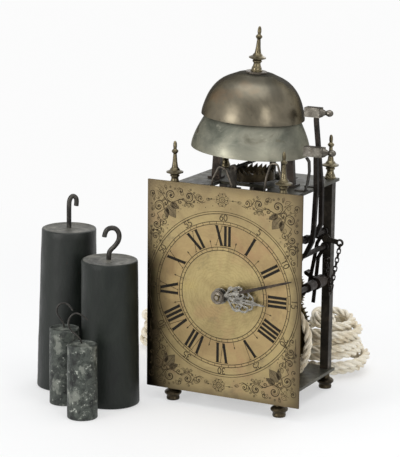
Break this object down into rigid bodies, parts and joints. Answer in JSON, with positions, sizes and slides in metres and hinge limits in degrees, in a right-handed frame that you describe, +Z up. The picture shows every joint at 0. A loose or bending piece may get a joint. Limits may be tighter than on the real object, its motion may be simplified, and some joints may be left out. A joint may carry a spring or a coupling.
{
  "type": "lantern clock",
  "caption": "Weight-driven lantern clock with engraved dial, twin trains, verge and bob pendulum, two bells, ropes and weights.",
  "frame": {"origin": "on the floor, under the middle of the movement's frame", "axes": "+Z up, +X to the clock's right as seen from the front, front (dial) towards -Y"},
  "size_m": [0.3082, 0.3304, 0.3794],
  "materials": {
    "frame_iron": "satin, hand forged",
    "brass": "polished, aged",
    "dial_brass": "engraved, satin",
    "bell_metal": "polished",
    "steel": "filed",
    "hand_steel": "blackened",
    "weight_paint": "worn dark green-black paint on iron",
    "lead": "oxidised lead",
    "rope": "laid cotton"
  },
  "bodies": {
    "frame": {"base_plate": "frame_iron", "top_plate": "frame_iron", "corner_posts": "frame_iron", "feet": "brass", "post_finials": "brass", "front_bar": "frame_iron", "middle_bar": "frame_iron", "rear_bar": "frame_iron", "dial_plate": "dial_brass", "bell_stand": "frame_iron", "bell_stud": "steel", "lower_bell": "bell_metal", "upper_bell": "bell_metal", "bell_finial": "brass", "escapement_cocks": "frame_iron", "hammer_springs": "steel", "spring_hoops": "frame_iron", "wheel_studs": "frame_iron", "return_chain": "steel", "going_rope": "rope", "going_rope_coil": "rope", "striking_rope": "rope", "striking_rope_coil": "rope", "rope_knots": "rope"},
    "minute_arbor": {"centre_arbor": "steel", "centre_wheel": "brass", "minute_hand": "hand_steel"},
    "going_great": {"going_great_arbor": "steel", "going_great_wheel": "brass", "going_rope_pulley": "brass"},
    "reverser": {"reverser_wheel": "brass"},
    "hour": {"hour_wheel": "brass", "hour_hand": "hand_steel"},
    "contrate": {"contrate_arbor": "steel", "contrate_wheel": "brass"},
    "crown": {"crown_arbor": "steel", "crown_wheel": "brass"},
    "pendulum": {"verge": "steel", "pendulum_rod": "steel", "pendulum_bob": "brass"},
    "striking_great": {"striking_great_arbor": "steel", "striking_great_wheel": "brass", "striking_rope_pulley": "brass"},
    "locking": {"locking_arbor": "steel", "locking_wheel": "brass"},
    "warning": {"warning_wheel": "brass"},
    "fly": {"fly": "brass"},
    "count": {"count_wheel": "brass"},
    "upper_hammer": {"upper_hammer_arbor": "steel", "upper_hammer_head": "steel"},
    "lower_hammer": {"lower_hammer_arbor": "steel", "lower_hammer_head": "steel"},
    "detent": {"locking_detent": "steel"},
    "lifting": {"lifting_lever": "steel"},
    "repeat": {"repeat_lever": "steel"},
    "chain": {"pull_chain": "steel"},
    "weight_large_left": {"large_weight_left": "weight_paint"},
    "weight_large_right": {"large_weight_right": "weight_paint"},
    "weight_small_left": {"small_weight_left": "lead"},
    "weight_small_right": {"small_weight_right": "lead"}
  },
  "joints": [
    {"name": "minute_spin", "type": "hinge", "parent": "frame", "child": "minute_arbor", "pos_m": [0, 0, 0.1189], "axis": [0, 1, 0], "continuous": true},
    {"name": "going_great_spin", "type": "hinge", "parent": "frame", "child": "going_great", "pos_m": [0, 0, 0.062], "axis": [0, 1, 0], "continuous": true},
    {"name": "reverser_spin", "type": "hinge", "parent": "frame", "child": "reverser", "pos_m": [0, 0, 0.0969], "axis": [0, 1, 0], "continuous": true},
    {"name": "hour_spin", "type": "hinge", "parent": "frame", "child": "hour", "pos_m": [0, 0, 0.1189], "axis": [0, 1, 0], "continuous": true},
    {"name": "contrate_spin", "type": "hinge", "parent": "frame", "child": "contrate", "pos_m": [0, 0, 0.172], "axis": [0, 1, 0], "continuous": true},
    {"name": "crown_spin", "type": "hinge", "parent": "frame", "child": "crown", "pos_m": [0, -0.004, 0.2265], "axis": [0, 0, 1], "continuous": true},
    {"name": "pendulum_swing", "type": "hinge", "parent": "frame", "child": "pendulum", "pos_m": [0, 0.068, 0.2435], "axis": [0, 1, 0], "range_deg": [-12, 12]},
    {"name": "striking_great_spin", "type": "hinge", "parent": "frame", "child": "striking_great", "pos_m": [0, 0, 0.062], "axis": [0, 1, 0], "continuous": true},
    {"name": "locking_spin", "type": "hinge", "parent": "frame", "child": "locking", "pos_m": [0, 0, 0.116], "axis": [0, 1, 0], "continuous": true},
    {"name": "warning_spin", "type": "hinge", "parent": "frame", "child": "warning", "pos_m": [0, 0, 0.1538], "axis": [0, 1, 0], "continuous": true},
    {"name": "fly_spin", "type": "hinge", "parent": "frame", "child": "fly", "pos_m": [0, 0, 0.181], "axis": [0, 1, 0], "continuous": true},
    {"name": "count_spin", "type": "hinge", "parent": "frame", "child": "count", "pos_m": [0, 0, 0.1], "axis": [0, 1, 0], "continuous": true},
    {"name": "upper_hammer_swing", "type": "hinge", "parent": "frame", "child": "upper_hammer", "pos_m": [0.05975, 0, 0.169], "axis": [0, 1, 0], "range_deg": [-1.9, 6], "stiffness_Nm_per_rad": 1},
    {"name": "lower_hammer_swing", "type": "hinge", "parent": "frame", "child": "lower_hammer", "pos_m": [0.05975, 0, 0.153], "axis": [0, 1, 0], "range_deg": [-2.6, 6], "stiffness_Nm_per_rad": 1},
    {"name": "detent_lift", "type": "hinge", "parent": "frame", "child": "detent", "pos_m": [0.05975, 0, 0.118], "axis": [0, 1, 0], "range_deg": [0, 8]},
    {"name": "lifting_lift", "type": "hinge", "parent": "frame", "child": "lifting", "pos_m": [-0.05975, 0, 0.135], "axis": [0, 1, 0], "range_deg": [-8, 0]},
    {"name": "repeat_pull", "type": "hinge", "parent": "frame", "child": "repeat", "pos_m": [0.05975, 0.0487, 0.161], "axis": [0, 1, 0], "range_deg": [0, 6], "stiffness_Nm_per_rad": 0.2},
    {"name": "chain_hang", "type": "hinge", "parent": "repeat", "child": "chain", "pos_m": [0.0755, 0.0487, 0.1575], "axis": [0, 1, 0], "range_deg": [-6, 0]},
    {"name": "weight_large_left_lift", "type": "slide", "parent": "frame", "child": "weight_large_left", "axis": [0, 0, 1], "range_m": [0, 0.25]},
    {"name": "weight_large_right_lift", "type": "slide", "parent": "frame", "child": "weight_large_right", "axis": [0, 0, 1], "range_m": [0, 0.25]},
    {"name": "weight_small_left_lift", "type": "slide", "parent": "frame", "child": "weight_small_left", "axis": [0, 0, 1], "range_m": [0, 0.25]},
    {"name": "weight_small_right_lift", "type": "slide", "parent": "frame", "child": "weight_small_right", "axis": [0, 0, 1], "range_m": [0, 0.25]}
  ],
  "couplings": [
    {"joint": "going_great_spin", "follows": "minute_spin", "ratio": -0.16667},
    {"joint": "reverser_spin", "follows": "minute_spin", "ratio": -0.33333},
    {"joint": "hour_spin", "follows": "minute_spin", "ratio": 0.083333},
    {"joint": "contrate_spin", "follows": "minute_spin", "ratio": -13},
    {"joint": "crown_spin", "follows": "minute_spin", "ratio": -156},
    {"joint": "locking_spin", "follows": "striking_great_spin", "ratio": -8.25},
    {"joint": "warning_spin", "follows": "striking_great_spin", "ratio": 66},
    {"joint": "fly_spin", "follows": "striking_great_spin", "ratio": -528},
    {"joint": "count_spin", "follows": "striking_great_spin", "ratio": -0.10256},
    {"joint": "chain_hang", "follows": "repeat_pull", "ratio": -1}
  ]
}
